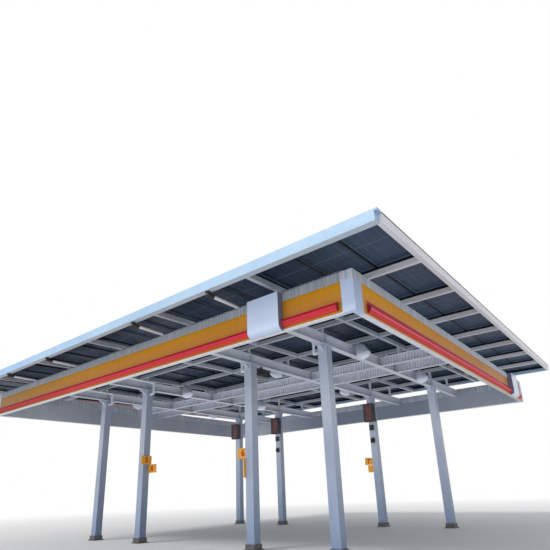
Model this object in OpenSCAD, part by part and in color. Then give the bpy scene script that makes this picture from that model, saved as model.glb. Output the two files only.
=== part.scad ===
// Filling station canopy with a tilted solar roof.
// Eight box columns carry four beams and two corrugated-web girders. Short
// posts on them carry a grid of purlins and rafters, rails and solar modules.
// A ring of fascia panels with light bars hangs round the beam ends.
// Origin at plan centre on the ground, +X along the front, +Y to the rear.

/* [Solar roof] */
// Width of one solar module, along X
module_w = 1038; // [1000:1:1050]
// Length of one solar module, along the slope
module_len = 2094; // [2000:1:2095]
// Thickness of a module frame
module_t = 40; // [30:1:50]
// Gap between modules in a row
module_gap = 6; // [4:1:20]
// Modules in a row
row_modules = 18; // [12:2:24]
// Rows of modules from front to rear
module_rows = 8; // [4:2:10]
// Tilt of the roof, rising to the rear, in degrees
roof_tilt = 1.2; // [0.5:0.1:2]
// Height of the roof's underside at the front edge
roof_front_z = 5880; // [5850:10:6200]

/* [Roof frame] */
// Width of a purlin or rafter
purlin_w = 100; // [60:5:140]
// Depth of a purlin or rafter
purlin_h = 120; // [100:5:160]
// Height of the mounting rails on the purlins
rail_h = 70; // [40:5:90]
// Width of a mounting rail
rail_w = 80; // [40:5:100]
// Flange width of the front and rear edge channels
channel_w = 170; // [120:5:220]
// Sheet thickness of the edge channels
channel_t = 8; // [5:1:12]
// Width of the left and right edge beams
edge_beam_w = 100; // [60:5:140]
// Modules between two rafters
rafter_every = 3; // [3:3:9]

/* [Columns] */
// Distance of the outer columns from the centre line
outer_x = 5510; // [5000:10:6000]
// Distance of the inner columns from the centre line
inner_x = 2680; // [2400:10:3200]
// Distance of the two column rows from the centre line
column_y = 4120; // [3600:10:4600]
// Width of a column shaft, along X
column_w = 290; // [200:5:350]
// Depth of a column shaft, along Y
column_d = 270; // [200:5:350]
// Height of the beam undersides, where the columns end
beam_z = 5470; // [5200:10:5480]

/* [Beams] */
// Depth of the beams and girders
beam_h = 310; // [250:5:330]
// Flange width of the main beams
beam_flange_w = 200; // [150:5:260]
// Flange width of the corrugated girders
girder_flange_w = 180; // [120:5:220]
// Pitch of the ribs in a girder's web
rib_pitch = 104; // [80:1:200]
// Depth of the ribs in a girder's web
rib_depth = 50; // [30:5:80]
// Distance of the two girders from the centre line
girder_y = 635; // [500:5:1000]

/* [Fascia] */
// Half width of the fascia ring, along X
fascia_x = 8288; // [8000:1:8600]
// Half depth of the fascia ring, along Y
fascia_y = 7372; // [7000:1:7700]
// Height of the fascia's lower edge
fascia_z = 4843; // [4700:1:5000]
// Height of the fascia, flashing included
fascia_h = 890; // [800:5:920]
// Thickness of the fascia
fascia_t = 130; // [100:5:200]
// Height of the grey flashing along the top
flashing_h = 205; // [150:1:260]
// Length of a corner post along the front
corner_x = 290; // [200:5:400]
// Length of a corner post along the side
corner_y = 340; // [200:5:400]
// Height of a light bar
light_h = 185; // [120:5:240]
// Width of a sign box
sign_w = 900; // [800:10:1200]

/* [Hidden] */
$fn = 48;

// Colours
steel_white = "#d9dade";
fascia_yellow = "#d9961f";
bar_red = "#d0274a";
flashing_grey = "#a9adb3";
solar_slate = "#2b3138";
rail_black = "#1d1f22";
box_dark = "#2d2b2c";
flag_yellow = "#e6b422";

// Small overlap that fuses pieces of one solid
fuse = 2;

// Roof sizes in the roof's own frame: x across, s up the slope, n normal
module_pitch = module_w + module_gap;
roof_half_w = row_modules * module_pitch / 2;
roof_end_gap = 10;
row_pitch = module_len + 3.5;
roof_len = module_rows * row_pitch + 2 * roof_end_gap;
roof_h = purlin_h + rail_h + module_t;
roof_front_y = (roof_h * sin(roof_tilt) - roof_len * cos(roof_tilt)) / 2;
grid_half_w = roof_half_w - edge_beam_w;
frame_w = 32;
glass_t = 7;
channel_inset = 60;
channel_half = roof_half_w - channel_inset;

// Height of the roof's underside over a place on the ground
function roof_under(y) = roof_front_z + (y - roof_front_y) * tan(roof_tilt);
// Distance up the slope of the seam before row k
function seam_s(k) = roof_end_gap + k * row_pitch;
// Ground coordinate below the middle of purlin k
function purlin_y(k) = roof_front_y + seam_s(k) * cos(roof_tilt);
rafter_count = row_modules / rafter_every - 1;
function rafter_x(i) = (i - (rafter_count + 1) / 2) * rafter_every * module_pitch;

// Columns and beams
column_xs = [-outer_x, -inner_x, inner_x, outer_x];
base_w = 420;
base_t = 25;
foot_w = 340;
foot_h = 140;
cap_w = 330;
cap_t = 25;
haunch_len = 170;
haunch_h = 230;
haunch_w = 120;
flange_t = 16;
web_t = 10;
stiffener_t = 14;
beam_half_len = fascia_y - fascia_t;
beam_top = beam_z + beam_h;
post_w = 80;
post_foot_w = 150;
post_foot_t = 12;

// Fascia
fascia_top = fascia_z + fascia_h;
panel_h = fascia_h - flashing_h;
trim_h = 22;
face_in = 12;
flashing_back = 6;
flashing_rise = 75;
flashing_lip = 40;
notch_w = 120;
notch_depth = 12;
light_z = fascia_z + 78;
light_depth = 85;
light_r = (pow(light_h / 2, 2) + pow(light_depth, 2)) / (2 * light_depth);
light_front_end = 7900;
light_side_end = 6850;
sign_x = 6064;
sign_y = 5500;
sign_depth = 150;
sign_h = 873;
sign_bend_r = 140;

// Number plates
flag_t = 30;
flag_shift = 120;

// Rain pipes
pipe_r = 40;
bend_r = 43;
outlet_r = 60;
outlet_h = 35;
outlet_s = 90;
pipe_side = 360;
pipe_high_z = 5810;
pipe_low_z = 5700;
pipe_foot_z = 5285;

// Lamps: place of the lens beside a beam, bell, and the arm that holds it
lamp_out = 355;
lamp_y = 2380;
lamp_z = 5420;
lamp_lean = 22;
lamp_r = 220;
lamp_h = 410;
lamp_neck_r = 60;
lamp_reach = 520;
lamp_rod_r = 22;
lamp_elbow_r = 30;
lamp_post_w = 50;
lamp_post_out = 55;
lamp_foot_w = 90;
lamp_foot_t = 12;

// Places the children in the roof's tilted frame
module on_roof() {
  translate([0, roof_front_y, roof_front_z]) rotate([roof_tilt, 0, 0]) children();
}

// Box with its middle in x and y given and its bottom at z
module block(x, y, z, w, d, h) {
  translate([x - w / 2, y - d / 2, z]) cube([w, d, h]);
}

// Curved bracket between a column's shaft and its cap plate, on the side given
module haunch(x, y, side) {
  translate([x, y, beam_z - cap_t]) rotate([0, 0, 90 - 90 * side]) rotate([90, 0, 90])
    translate([0, 0, -haunch_w / 2]) linear_extrude(haunch_w) difference() {
      translate([column_d / 2 - fuse, -haunch_h]) square([haunch_len + fuse, haunch_h + fuse]);
      translate([column_d / 2 + haunch_len, -haunch_h]) circle(haunch_len);
    }
}

module column(x, y) {
  color(steel_white) union() {
    block(x, y, 0, base_w, base_w, base_t);
    block(x, y, base_t - fuse, foot_w, foot_w, foot_h + fuse);
    block(x, y, base_t, column_w, column_d, beam_z - cap_t);
    block(x, y, beam_z - cap_t, cap_w, column_d + 2 * haunch_len, cap_t);
    for (side = [-1, 1]) haunch(x, y, side);
  }
}

// Outline of an I section, standing on its lower flange
module i_outline(w) {
  translate([-w / 2, 0]) square([w, flange_t]);
  translate([-web_t / 2, 0]) square([web_t, beam_h]);
  translate([-w / 2, beam_h - flange_t]) square([w, flange_t]);
}

// Stiffener plates on both sides of a beam's web
module stiffener(y) {
  block(0, y, beam_z + flange_t - fuse, beam_flange_w, stiffener_t, beam_h - 2 * flange_t + 2 * fuse);
}

module main_beam(x) {
  color(steel_white) translate([x, 0, 0]) union() {
    translate([0, beam_half_len, beam_z]) rotate([90, 0, 0])
      linear_extrude(2 * beam_half_len) i_outline(beam_flange_w);
    for (y = [-column_y, column_y, -girder_y, girder_y]) stiffener(y);
    for (end = [-1, 1])
      stiffener(end * (beam_half_len - stiffener_t / 2));
  }
}

// Zigzag line of a girder's web from x0 to x1, offset sideways by side
function rib_line(x0, x1, side) =
  let (ribs = round((x1 - x0) / rib_pitch), step = (x1 - x0) / ribs)
  [for (i = [0:ribs - 1], c = [[0.05, -1], [0.45, -1], [0.55, 1], [0.95, 1]])
    [x0 + (i + c[0]) * step, c[1] * rib_depth / 2 + side]];

function reversed(list) = [for (i = [len(list) - 1:-1:0]) list[i]];

module ribbed_web(x0, x1) {
  half = web_t / 2;
  near = rib_line(x0, x1, -half);
  far = rib_line(x0, x1, half);
  outline = concat([[x0, -rib_depth / 2 - half]], near, [[x1, rib_depth / 2 - half]],
    [[x1, rib_depth / 2 + half]], reversed(far), [[x0, -rib_depth / 2 + half]]);
  linear_extrude(beam_h - 2 * flange_t + 2 * fuse) polygon(outline);
}

// One length of girder with flanges, ribbed web and end plates
module girder_bay(x0, x1) {
  mid = (x0 + x1) / 2;
  block(mid, 0, beam_z, x1 - x0, girder_flange_w, flange_t);
  block(mid, 0, beam_top - flange_t, x1 - x0, girder_flange_w, flange_t);
  translate([0, 0, beam_z + flange_t - fuse]) ribbed_web(x0, x1);
  for (x = [x0 + stiffener_t / 2, x1 - stiffener_t / 2])
    block(x, 0, beam_z + flange_t - fuse, stiffener_t, girder_flange_w, beam_h - 2 * flange_t + 2 * fuse);
}

module girder(y) {
  half = beam_flange_w / 2;
  starts = [-fascia_x + fascia_t, for (x = column_xs) x + half];
  ends = [for (x = column_xs) x - half, fascia_x - fascia_t];
  color(steel_white) translate([0, y, 0])
    for (i = [0:len(starts) - 1]) union() girder_bay(starts[i], ends[i]);
}

// Post with a foot plate and a top cut to the roof's slope
module post(x, y) {
  low = y - post_w / 2;
  high = y + post_w / 2;
  union() {
    block(x, y, beam_top, post_foot_w, post_foot_w, post_foot_t);
    translate([x - post_w / 2, 0, 0]) rotate([90, 0, 90]) linear_extrude(post_w)
      polygon([[low, beam_top], [high, beam_top], [high, roof_under(high)], [low, roof_under(low)]]);
  }
}

module beam_posts() {
  color(steel_white) for (x = column_xs, k = [1:module_rows - 1]) post(x, purlin_y(k));
}

module girder_posts() {
  color(steel_white) for (i = [1:rafter_count], y = [-girder_y, girder_y]) post(rafter_x(i), y);
}

module purlins() {
  color(steel_white) on_roof() for (k = [1:module_rows - 1])
    block(0, seam_s(k), 0, 2 * grid_half_w, purlin_w, purlin_h);
}

// Rafter lengths between the purlins and the edge channels
module rafters() {
  color(steel_white) on_roof() for (i = [1:rafter_count], k = [0:module_rows - 1]) {
    start = k == 0 ? channel_w : seam_s(k) + purlin_w / 2;
    end = k == module_rows - 1 ? roof_len - channel_w : seam_s(k + 1) - purlin_w / 2;
    block(rafter_x(i), (start + end) / 2, 0, purlin_w, end - start, purlin_h);
  }
}

// Trough section: tall outer wall, floor, and an inner wall with a ledge for the rail
module channel_outline() {
  square([channel_w, channel_t]);
  square([channel_t, roof_h]);
  translate([channel_w - channel_t, 0]) square([channel_t, purlin_h]);
  translate([channel_w - rail_w / 2, purlin_h - channel_t]) square([rail_w / 2, channel_t]);
}

// Edge channel closed by a plate at each end
module edge_channel() {
  union() {
    translate([-channel_half, 0, 0]) rotate([90, 0, 90])
      linear_extrude(2 * channel_half) channel_outline();
    for (x = [-channel_half, channel_half - channel_t])
      translate([x, 0, 0]) cube([channel_t, channel_w, purlin_h + rail_h]);
  }
}

module edge_channel_front() {
  color(steel_white) on_roof() edge_channel();
}

module edge_channel_rear() {
  color(steel_white) on_roof() translate([0, roof_len, 0]) mirror([0, 1, 0]) edge_channel();
}

module edge_beam(side) {
  color(steel_white) on_roof()
    block(side * (roof_half_w - edge_beam_w / 2), roof_len / 2, 0,
      edge_beam_w, roof_len - 2 * channel_w, purlin_h + rail_h);
}

// Rails on the purlins, and half rails on the ledges of the edge channels
module mounting_rails() {
  color(rail_black) on_roof() translate([0, 0, purlin_h]) {
    for (k = [1:module_rows - 1]) block(0, seam_s(k), 0, 2 * grid_half_w, rail_w, rail_h);
    for (s = [channel_w - rail_w / 4, roof_len - channel_w + rail_w / 4])
      block(0, s, 0, 2 * (channel_half - channel_t), rail_w / 2, rail_h);
  }
}

// Module whose frame stands below its glass
module solar_module(x, s) {
  z = purlin_h + rail_h;
  difference() {
    block(x, s, z, module_w, module_len, module_t);
    block(x, s, z - fuse, module_w - 2 * frame_w, module_len - 2 * frame_w, module_t - glass_t + fuse);
  }
}

module solar_row(k) {
  color(solar_slate) on_roof()
    for (i = [0:row_modules - 1])
      solar_module((i - (row_modules - 1) / 2) * module_pitch, seam_s(k - 0.5));
}

// Section of a fascia panel: a lip below and a face set back over it
module panel_outline() {
  polygon([[0, 0], [fascia_t, 0], [fascia_t, panel_h], [face_in, panel_h], [face_in, trim_h], [0, trim_h]]);
}

// Panel along X, with its outer face towards -Y, from x0 to x1
module panel(x0, x1) {
  translate([x0, -fascia_y, fascia_z]) rotate([90, 0, 90]) linear_extrude(x1 - x0) panel_outline();
}

module fascia_front() {
  color(fascia_yellow) panel(-fascia_x + corner_x, fascia_x - corner_x);
}

module fascia_rear() {
  color(fascia_yellow) rotate([0, 0, 180]) panel(-fascia_x + corner_x, fascia_x - corner_x);
}

// Side panels are the front panel turned, moved out to the sides
module side_panel() {
  translate([0, fascia_y - fascia_x, 0]) panel(-fascia_y + corner_y, fascia_y - corner_y);
}

module fascia_right() {
  color(fascia_yellow) rotate([0, 0, 90]) side_panel();
}

module fascia_left() {
  color(fascia_yellow) rotate([0, 0, -90]) side_panel();
}

// Section of the flashing: an upright face under a top that rises to the inside
module flashing_outline() {
  polygon([[flashing_back, 0], [fascia_t, 0], [fascia_t, flashing_h + flashing_rise],
    [fascia_t - flashing_lip, flashing_h + flashing_rise], [flashing_back, flashing_h]]);
}

// Flashing along X over the front panel, from -half to half
module flashing_length(half) {
  translate([-half, -fascia_y, fascia_z + panel_h]) rotate([90, 0, 90])
    linear_extrude(2 * half) flashing_outline();
}

module flashing() {
  front_half = fascia_x - corner_x;
  side_half = fascia_y - corner_y;
  color(flashing_grey) {
    difference() {
      flashing_length(front_half);
      for (x = column_xs)
        block(x - sign(x) * pipe_side, -fascia_y, fascia_top - notch_depth,
          notch_w, 3 * fascia_t, flashing_h);
    }
    rotate([0, 0, 180]) flashing_length(front_half);
    for (turn = [-90, 90])
      rotate([0, 0, turn]) translate([0, fascia_y - fascia_x, 0]) flashing_length(side_half);
  }
}

module corner_posts() {
  color(steel_white) for (x = [-1, 1], y = [-1, 1]) scale([x, y, 1])
    translate([0, 0, fascia_z]) linear_extrude(fascia_h) union() {
      translate([fascia_x - corner_x, fascia_y - fascia_t]) square([corner_x, fascia_t]);
      translate([fascia_x - fascia_t, fascia_y - corner_y]) square([fascia_t, corner_y]);
    }
}

// Half-round light bar along X on the front panel, from x0 to x1
module light_bar(x0, x1) {
  translate([x0, -fascia_y + face_in, light_z + light_h / 2]) rotate([90, 0, 90])
    linear_extrude(x1 - x0) intersection() {
      translate([light_r - light_depth, 0]) circle(light_r);
      translate([-light_h, -light_h]) square([light_h, 2 * light_h]);
    }
}

module light_bars() {
  gap = sign_w / 2;
  side_shift = fascia_y - fascia_x;
  color(bar_red) {
    light_bar(-light_front_end, sign_x - gap);
    light_bar(sign_x + gap, light_front_end);
    rotate([0, 0, 180]) light_bar(-light_front_end, light_front_end);
    rotate([0, 0, 90]) translate([0, side_shift, 0]) light_bar(-light_side_end, sign_y - gap);
    rotate([0, 0, 90]) translate([0, side_shift, 0]) light_bar(sign_y + gap, light_side_end);
    rotate([0, 0, -90]) translate([0, side_shift, 0]) light_bar(-light_side_end, light_side_end);
  }
}

// Sign box on the front panel and its flashing, rounded along its lower edge
module sign_box(x) {
  color("white") translate([x - sign_w / 2, -fascia_y, fascia_z]) rotate([90, 0, 90])
    linear_extrude(sign_w) difference() {
      union() {
        translate([-sign_depth, sign_bend_r]) square([sign_depth + face_in, sign_h - sign_bend_r]);
        translate([sign_bend_r - sign_depth, 0]) square([sign_depth - sign_bend_r + face_in, sign_bend_r]);
        intersection() {
          translate([sign_bend_r - sign_depth, sign_bend_r]) circle(sign_bend_r);
          translate([-sign_depth, 0]) square(sign_bend_r);
        }
      }
      panel_outline();
      translate([0, panel_h]) flashing_outline();
    }
}

module sign_front() {
  sign_box(sign_x);
}

module sign_right() {
  rotate([0, 0, 90]) translate([0, fascia_y - fascia_x, 0]) sign_box(sign_y);
}

// Round bar from one point to another
module rod(from, to, r) {
  v = to - from;
  length = norm(v);
  translate(from) rotate([0, acos(v[2] / length), atan2(v[1], v[0])]) cylinder(h = length, r = r);
}

// Outlet under the front channel, sloping pipe, and bend into the column's side
module rain_pipe(column_x, side) {
  x = column_x - side * pipe_side;
  y0 = roof_front_y + outlet_s;
  y1 = -column_y;
  high = [x, y0, pipe_high_z];
  bend = [x, y1, pipe_low_z];
  foot = [x, y1, pipe_foot_z];
  into = [column_x - side * column_w / 2, y1, pipe_foot_z];
  union() {
    on_roof() translate([x, outlet_s, -outlet_h]) cylinder(h = outlet_h, r = outlet_r);
    rod(high, [x, y0, roof_under(y0) - outlet_h / 2], pipe_r);
    rod(high, bend, pipe_r);
    rod(bend, foot, pipe_r);
    rod(foot, into, pipe_r);
    for (p = [high, bend, foot]) translate(p) sphere(bend_r);
  }
}

module rain_pipes() {
  color(steel_white) for (x = column_xs) rain_pipe(x, sign(x));
}

// Bell-shaped lamp on an arm from a beam's top, leaning out to the side given
module lamp(beam_x, side, y) {
  post_x = beam_x + side * lamp_post_out;
  elbow = [beam_x + side * (lamp_out - lamp_reach * sin(lamp_lean)), y, lamp_z + lamp_reach * cos(lamp_lean)];
  bell = [[0, 0], [lamp_r * 0.8, 0], [lamp_r * 0.92, 30], [lamp_r, 40], [lamp_r, 60],
    [lamp_r * 0.9, lamp_h * 0.32], [lamp_r * 0.66, lamp_h * 0.6], [lamp_r * 0.4, lamp_h * 0.79],
    [lamp_neck_r, lamp_h * 0.85], [lamp_neck_r, lamp_h], [0, lamp_h]];
  union() {
    translate([beam_x + side * lamp_out, y, lamp_z]) rotate([0, -side * lamp_lean, 0]) {
      rotate_extrude() polygon(bell);
      translate([0, 0, lamp_h - fuse]) cylinder(h = lamp_reach - lamp_h + fuse, r = lamp_rod_r);
    }
    translate(elbow) sphere(lamp_elbow_r);
    rod([post_x, y, elbow[2]], elbow, lamp_rod_r);
    block(post_x, y, beam_top, lamp_post_w, lamp_post_w, elbow[2] + lamp_post_w / 2 - beam_top);
    block(post_x, y, beam_top, lamp_foot_w, lamp_foot_w, lamp_foot_t);
  }
}

module lamps() {
  color("silver")
    for (at = [[-outer_x, -1], [-inner_x, 1], [inner_x, -1], [outer_x, 1]], y = [-lamp_y, lamp_y])
      lamp(at[0], at[1], y);
}

// Finned round floodlight under an inner main beam, behind the front column
module floodlight() {
  core_r = 80;
  fin_r = 95;
  fin_t = 25;
  fins = 7;
  body_len = 460;
  bracket_w = 60;
  z = 5257;
  y = -3800;
  color(box_dark) union() {
    translate([inner_x, y, z]) rotate([-90, 0, 0]) cylinder(h = body_len, r = core_r);
    for (i = [0:fins - 1])
      translate([inner_x, y + i * (body_len - fin_t) / (fins - 1), z])
        rotate([-90, 0, 0]) cylinder(h = fin_t, r = fin_r);
    block(inner_x, y + body_len / 2, z, bracket_w, bracket_w, beam_z - z);
  }
}

// Cabinet with a hood on the front of a rear column
module column_box(x) {
  w = 480;
  depth = 235;
  z = 4330;
  h = 780;
  rim = 30;
  recess = 12;
  front = column_y - column_d / 2 - depth;
  difference() {
    block(x, front + depth / 2, z, w, depth, h);
    block(x, front, z + rim, w - 2 * rim, 2 * recess, h - 2 * rim);
  }
}

// Small dark speaker on the front of a rear column
module small_box(x, z, w, h) {
  depth = 90;
  block(x, column_y - column_d / 2 - depth / 2, z, w, depth, h);
}

module column_boxes() {
  color(box_dark) {
    for (x = [-outer_x, -inner_x, inner_x]) column_box(x);
    for (x = [-inner_x, inner_x]) {
      small_box(x, z = 3960, w = 170, h = 230);
      small_box(x, z = 3420, w = 150, h = 200);
    }
  }
}

// Plate facing front and rear, standing out from a column's inner side
module number_flag(side, y, z, w, h) {
  x = side * (inner_x - column_w / 2 - w / 2);
  block(x, y, z, w, flag_t, h);
}

// Plate flat on a column's inner side, wider than the side
module side_flag(side, y, z, w, h) {
  x = side * (inner_x - column_w / 2 - flag_t / 2);
  block(x, y, z, flag_t, w, h);
}

module number_flags() {
  color(flag_yellow) {
    side_flag(-1, y = -column_y - 20, z = 2670, w = 440, h = 300);
    number_flag(-1, y = -column_y + flag_shift, z = 2360, w = 430, h = 300);
    number_flag(1, y = -column_y, z = 2550, w = 430, h = 310);
    side_flag(1, y = -column_y, z = 1980, w = 400, h = 560);
    number_flag(1, y = column_y - flag_shift, z = 2500, w = 360, h = 300);
    number_flag(1, y = column_y, z = 2190, w = 305, h = 300);
  }
}

column(column_xs[0], -column_y);  // column_front_1
column(column_xs[1], -column_y);  // column_front_2
column(column_xs[2], -column_y);  // column_front_3
column(column_xs[3], -column_y);  // column_front_4
column(column_xs[0], column_y);  // column_rear_1
column(column_xs[1], column_y);  // column_rear_2
column(column_xs[2], column_y);  // column_rear_3
column(column_xs[3], column_y);  // column_rear_4
main_beam(column_xs[0]);  // main_beam_1
main_beam(column_xs[1]);  // main_beam_2
main_beam(column_xs[2]);  // main_beam_3
main_beam(column_xs[3]);  // main_beam_4
girder(-girder_y);  // girder_front
girder(girder_y);  // girder_rear
beam_posts();
girder_posts();
purlins();
rafters();
edge_channel_front();
edge_channel_rear();
edge_beam(-1);  // edge_beam_left
edge_beam(1);  // edge_beam_right
mounting_rails();
solar_row(1);  // solar_row_1
solar_row(2);  // solar_row_2
solar_row(3);  // solar_row_3
solar_row(4);  // solar_row_4
solar_row(5);  // solar_row_5
solar_row(6);  // solar_row_6
solar_row(7);  // solar_row_7
solar_row(8);  // solar_row_8
fascia_front();
fascia_right();
fascia_rear();
fascia_left();
flashing();
corner_posts();
light_bars();
sign_front();
sign_right();
rain_pipes();
lamps();
floodlight();
column_boxes();
number_flags();
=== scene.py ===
"""Filling station canopy, dressed for its photograph. Metres, +X along the front, +Y to the rear, +Z up."""
from math import cos, floor, pi, radians, sin, tan

import bmesh
import bpy
from mathutils import Euler, Matrix, Vector


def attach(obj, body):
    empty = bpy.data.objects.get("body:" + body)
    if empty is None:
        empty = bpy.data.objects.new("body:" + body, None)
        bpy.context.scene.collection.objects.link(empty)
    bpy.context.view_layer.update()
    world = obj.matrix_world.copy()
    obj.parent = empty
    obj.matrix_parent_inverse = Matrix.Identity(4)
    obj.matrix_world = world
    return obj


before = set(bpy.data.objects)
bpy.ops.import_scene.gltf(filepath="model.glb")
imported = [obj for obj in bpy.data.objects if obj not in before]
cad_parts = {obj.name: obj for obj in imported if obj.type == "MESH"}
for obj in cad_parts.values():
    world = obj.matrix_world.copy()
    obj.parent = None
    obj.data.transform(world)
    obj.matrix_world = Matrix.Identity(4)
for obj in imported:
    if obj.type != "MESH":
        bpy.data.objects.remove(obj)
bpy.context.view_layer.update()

# Camera, as calibrated on the photograph
CAMERA_PLACE = (12.076, -14.765, 1.595)
CAMERA_TURN = (108.852, 1.989, 38.998)
CAMERA_LENS = 29.75
CAMERA_SHIFT = (0.00345, 0.1093)

# Studio lights
KEY_PLACE, KEY_AIM = Vector((-14, -22, 26)), Vector((0, 0, 3))
KEY_STRENGTH, KEY_SPREAD = 1.4, radians(14)
# Brightness of the dome from straight down to straight up, at heights of its unit sphere
DOME = ((-1.0, 0.45), (-0.6, 0.75), (-0.3, 1.1), (0.0, 1.0), (0.25, 0.8), (1.0, 0.5))
# How much less light comes from low down on the right and at the rear
DIM_RIGHT, DIM_REAR = 0.85, 0.3
# Floor's radius, and how far out it starts and ends to fade into the backdrop
FLOOR_R, FADE_START, FADE_END = 90.0, 14.0, 42.0

# Sizes that repeat the CAD source
COLUMN_X = (-5.51, -2.68, 2.68, 5.51)
COLUMN_Y = 4.12
COLUMN_W, COLUMN_D = 0.29, 0.27
BASE_T, FOOT_TOP, CAP_T = 0.025, 0.165, 0.025
BEAM_Z, BEAM_H, FLANGE_W = 5.47, 0.31, 0.2
BEAM_TOP = BEAM_Z + BEAM_H
GIRDER_Y, GIRDER_END_T = 0.635, 0.014
POST_FOOT_T = 0.012
ROOF_TILT = radians(1.2)
ROOF_Z, ROOF_GAP = 5.88, 0.01
MODULES, ROWS = 18, 8
MODULE_W, MODULE_LEN, MODULE_T, FRAME_W = 1.038, 2.094, 0.04, 0.032
MODULE_PITCH, ROW_PITCH = 1.044, 2.0975
PURLIN_W, PURLIN_H, RAIL_H = 0.1, 0.12, 0.07
ROOF_H = PURLIN_H + RAIL_H + MODULE_T
ROOF_LEN = ROWS * ROW_PITCH + 2 * ROOF_GAP
ROOF_Y = (ROOF_H * sin(ROOF_TILT) - ROOF_LEN * cos(ROOF_TILT)) / 2
ROOF_HALF_W = MODULES * MODULE_PITCH / 2
CHANNEL_INSET = 0.06
RAFTER_X = tuple((i - 3) * 3 * MODULE_PITCH for i in range(1, 6))
RING_X, RING_Y, RING_Z, RING_T = 8.288, 7.372, 4.843, 0.13
PANEL_TOP, LIP_TOP, FACE_IN = 5.528, 4.865, 0.012
SHEET_TOP, SHEET_INNER_TOP, SHEET_LIP, SHEET_IN = 5.733, 5.808, 0.04, 0.006
BAR_MID_Z, BAR_H, BAR_DEPTH = 5.0135, 0.185, 0.085
BAR_TOP = BAR_MID_Z + BAR_H / 2
BAR_FRONT_END, BAR_SIDE_END = 7.9, 6.85
SIGN_W, SIGN_X, SIGN_Y, SIGN_DEPTH = 0.9, 6.064, 5.5, 0.15
SIGN_TOP, SIGN_BEND = 5.716, 0.14
PIPE_SIDE, PIPE_R, PIPE_HIGH, PIPE_LOW, PIPE_FOOT = 0.36, 0.04, 5.81, 5.7, 5.285
LAMPS = ((-5.51, -1), (-2.68, 1), (2.68, -1), (5.51, 1))
LAMP_OUT, LAMP_Y, LAMP_Z, LAMP_LEAN = 0.355, 2.38, 5.42, radians(22)
FLOODLIGHT_END = (2.68, -3.34, 5.257)
CABINET_OUT, SMALL_BOX_OUT = 0.235, 0.09

# Each side of the fascia ring as its front one turned: angle, half length, and how much further out
RING_SIDES = ((0, RING_X, 0), (180, RING_X, 0), (90, RING_Y, RING_X - RING_Y), (-90, RING_Y, RING_X - RING_Y))

# Details that only this script has
GRIME = (90, 84, 76)
SMOOTH_BELOW = radians(35)
PANEL_PITCH = 2.44
RIB_PITCH = 0.1
FIGURE_SIZE, FIGURE_EDGE = 0.27, 0.01


def on_roof(x, s, n):
    """Place in the roof's tilted frame: across, up the slope, and out from its underside."""
    return Vector((x, ROOF_Y + s * cos(ROOF_TILT) - n * sin(ROOF_TILT),
                   ROOF_Z + s * sin(ROOF_TILT) + n * cos(ROOF_TILT)))


def seam(k):
    """Distance up the slope to the seam after row k of the modules."""
    return ROOF_GAP + k * ROW_PITCH


ROOF_TURN = Matrix.Rotation(ROOF_TILT, 4, "X")


# Node helpers

def srgb(r, g, b):
    """A paint colour from the 0 to 255 values of a colour card."""
    def linear(v):
        v /= 255
        return v / 12.92 if v <= 0.04045 else ((v + 0.055) / 1.055) ** 2.4
    return (linear(r), linear(g), linear(b), 1.0)


def tinted(card, *shares):
    """A colour card with each of its values multiplied by a share."""
    return [value * share for value, share in zip(card, shares)]


class Wiring:
    """A node tree and the short words that fill it."""

    def __init__(self, tree):
        self.tree = tree

    def node(self, kind, inputs=None, **settings):
        """New node, each of its inputs set to a plain value or linked from a socket."""
        made = self.tree.nodes.new(kind)
        for name, value in settings.items():
            setattr(made, name, value)
        for key, value in (inputs or {}).items():
            if isinstance(value, bpy.types.NodeSocket):
                self.tree.links.new(value, made.inputs[key])
            else:
                made.inputs[key].default_value = value
        return made

    def sum(self, operation, *values):
        return self.node("ShaderNodeMath", dict(enumerate(values)), operation=operation).outputs[0]

    def range(self, value, low, high, to_low=0.0, to_high=1.0, **settings):
        inputs = {0: value, 1: low, 2: high, 3: to_low, 4: to_high}
        return self.node("ShaderNodeMapRange", inputs, **settings).outputs[0]

    def seen_directly(self):
        """1 for rays that show the backdrop: from the camera, off gloss and through glass."""
        ray = self.node("ShaderNodeLightPath").outputs
        direct = self.sum("MAXIMUM", ray["Is Camera Ray"], ray["Is Glossy Ray"])
        return self.sum("MAXIMUM", direct, ray["Is Transmission Ray"])


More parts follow.
